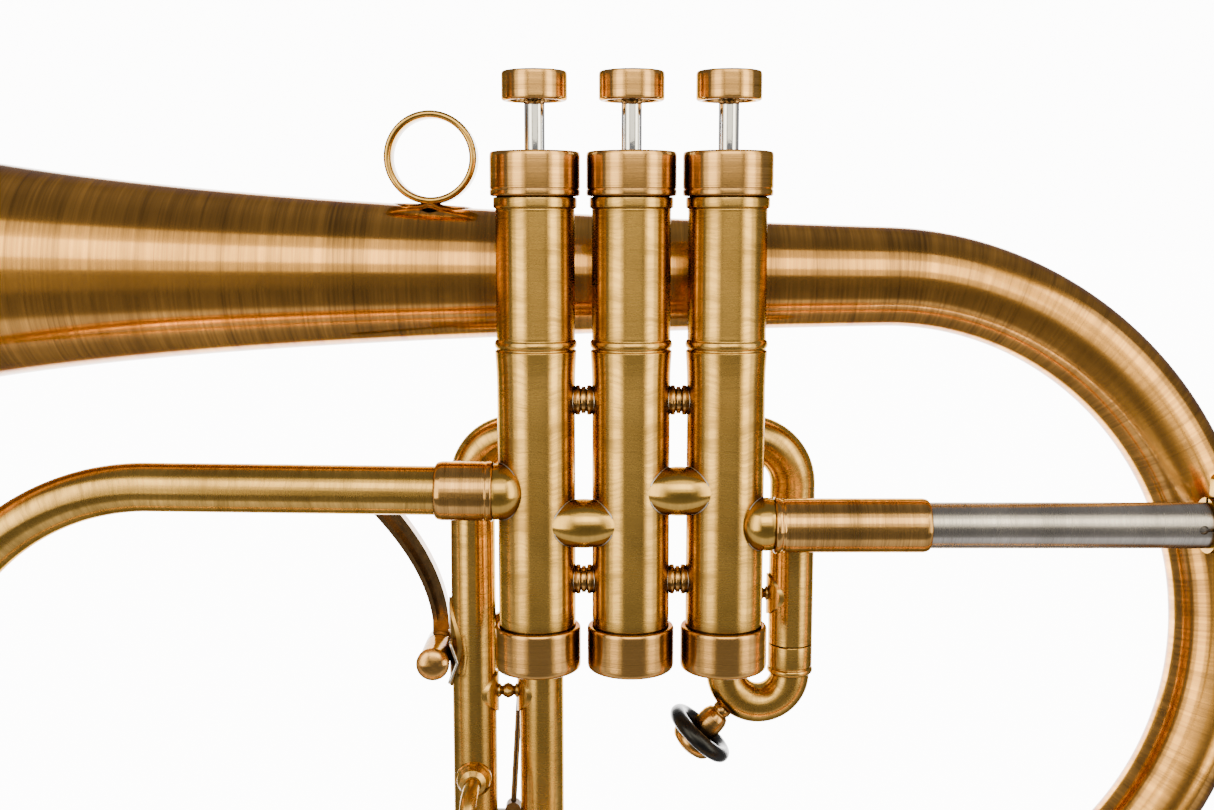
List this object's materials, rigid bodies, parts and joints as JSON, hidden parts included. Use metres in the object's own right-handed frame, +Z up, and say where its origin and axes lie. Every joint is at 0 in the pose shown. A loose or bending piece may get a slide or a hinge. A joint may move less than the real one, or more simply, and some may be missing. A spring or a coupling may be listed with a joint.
{
  "type": "flugelhorn",
  "caption": "Flugelhorn with piston valves, wide bell and bow, pull slides with a thumb trigger, and a leadpipe that slides for tuning",
  "frame": {"origin": "centre of the mouthpiece receiver's mouth, on the leadpipe's axis", "axes": "+X the way the mouthpiece leaves, so the bell opens towards -X; +Z up through the finger buttons; -Y the side the leadpipe is on"},
  "size_m": [0.4868, 0.156, 0.2667],
  "materials": {
    "rose_brass": "brushed rose brass under clear lacquer, darkened in the joints",
    "satin_brass": "satin brushed yellow brass, lightly aged",
    "polished_brass": "smooth aged brass with dark solder lines",
    "copper_trim": "lathe-turned copper-coloured brass with fine rings",
    "nickel_silver": "satin nickel silver",
    "chrome_steel": "polished plated rod",
    "piston_alloy": "ground nickel alloy",
    "spring_steel": "drawn steel wire",
    "black_rubber": "glossy black rubber",
    "felt": "dense red felt",
    "guide_nylon": "white nylon",
    "cork": "fine cork"
  },
  "bodies": {
    "horn": {"bell": "rose_brass", "big_bow": "rose_brass", "bottom_cap_1": "copper_trim", "bottom_cap_2": "copper_trim", "bottom_cap_3": "copper_trim", "bow_ferrules": "polished_brass", "cap_felts": "felt", "finger_ring": "polished_brass", "first_slide_tubes": "satin_brass", "front_bow": "satin_brass", "inlet_knuckle": "polished_brass", "knuckle_1_2": "polished_brass", "knuckle_2_3": "polished_brass", "leadpipe_sleeve": "satin_brass", "lower_brace": "polished_brass", "lower_tube": "satin_brass", "outlet_ferrule": "polished_brass", "outlet_knuckle": "polished_brass", "second_slide_tubes": "satin_brass", "slide_stays": "polished_brass", "third_slide_tubes": "satin_brass", "top_cap_1": "copper_trim", "top_cap_2": "copper_trim", "top_cap_3": "copper_trim", "trigger_saddle": "polished_brass", "trigger_spring": "spring_steel", "tuning_clamp": "polished_brass", "tuning_sleeve": "nickel_silver", "valve_casing_1": "satin_brass", "valve_casing_2": "satin_brass", "valve_casing_3": "satin_brass", "valve_guides": "guide_nylon", "valve_spring_1": "spring_steel", "valve_spring_2": "spring_steel", "valve_spring_3": "spring_steel", "valve_stays": "polished_brass", "water_key_saddle": "polished_brass", "water_key_spring": "spring_steel"},
    "tuning_slide": {"tuning_pipe": "nickel_silver", "mouthpiece_receiver": "polished_brass"},
    "clamp_screw_body": {"clamp_screw": "polished_brass"},
    "first_slide": {"first_slide_crook": "satin_brass", "first_slide_knob": "polished_brass", "first_slide_ring": "black_rubber"},
    "second_slide": {"second_slide_crook": "satin_brass"},
    "third_slide": {"third_slide_crook": "satin_brass", "trigger_link": "spring_steel"},
    "trigger": {"trigger_lever": "polished_brass", "trigger_axle": "copper_trim"},
    "water_key": {"water_key_lever": "polished_brass", "water_key_cork": "cork"},
    "valve_1": {"piston_1": "piston_alloy", "piston_stem_1": "chrome_steel", "finger_button_1": "copper_trim"},
    "valve_2": {"piston_2": "piston_alloy", "piston_stem_2": "chrome_steel", "finger_button_2": "copper_trim"},
    "valve_3": {"piston_3": "piston_alloy", "piston_stem_3": "chrome_steel", "finger_button_3": "copper_trim"}
  },
  "joints": [
    {"name": "valve_press_1", "type": "slide", "parent": "horn", "child": "valve_1", "axis": [0, 0, -1], "range_m": [0, 0.0155], "stiffness_N_per_m": 80, "springref_m": -0.03, "deforming": ["valve_spring_1"]},
    {"name": "valve_press_2", "type": "slide", "parent": "horn", "child": "valve_2", "axis": [0, 0, -1], "range_m": [0, 0.0155], "stiffness_N_per_m": 80, "springref_m": -0.03, "deforming": ["valve_spring_2"]},
    {"name": "valve_press_3", "type": "slide", "parent": "horn", "child": "valve_3", "axis": [0, 0, -1], "range_m": [0, 0.0155], "stiffness_N_per_m": 80, "springref_m": -0.03, "deforming": ["valve_spring_3"]},
    {"name": "main_tuning_slide", "type": "slide", "parent": "horn", "child": "tuning_slide", "axis": [1, 0, 0], "range_m": [0, 0.02]},
    {"name": "clamp_screw_turn", "type": "hinge", "parent": "horn", "child": "clamp_screw_body", "pos_m": [-0.067, 0, 0.0095], "axis": [0, 1, 0], "continuous": true},
    {"name": "first_slide_pull", "type": "slide", "parent": "horn", "child": "first_slide", "axis": [0, 0, -1], "range_m": [0, 0.018]},
    {"name": "second_slide_pull", "type": "slide", "parent": "horn", "child": "second_slide", "axis": [0, 1, 0], "range_m": [0, 0.009]},
    {"name": "trigger_swing", "type": "hinge", "parent": "horn", "child": "trigger", "pos_m": [-0.2676, 0.033, -0.043], "axis": [0, 1, 0], "range_deg": [0, 43], "stiffness_Nm_per_rad": 0.15, "springref_deg": -20.05},
    {"name": "third_slide_move", "type": "slide", "parent": "horn", "child": "third_slide", "axis": [0, 0, -1], "range_m": [0, 0.0182]},
    {"name": "water_key_open", "type": "hinge", "parent": "horn", "child": "water_key", "pos_m": [-0.274, 0.00074, -0.12074], "axis": [0, -1, 0], "range_deg": [0, 13], "stiffness_Nm_per_rad": 0.02, "springref_deg": -20.05}
  ],
  "couplings": [
    {"joint": "third_slide_move", "follows": "trigger_swing", "m_per_rad": 0.02412}
  ]
}
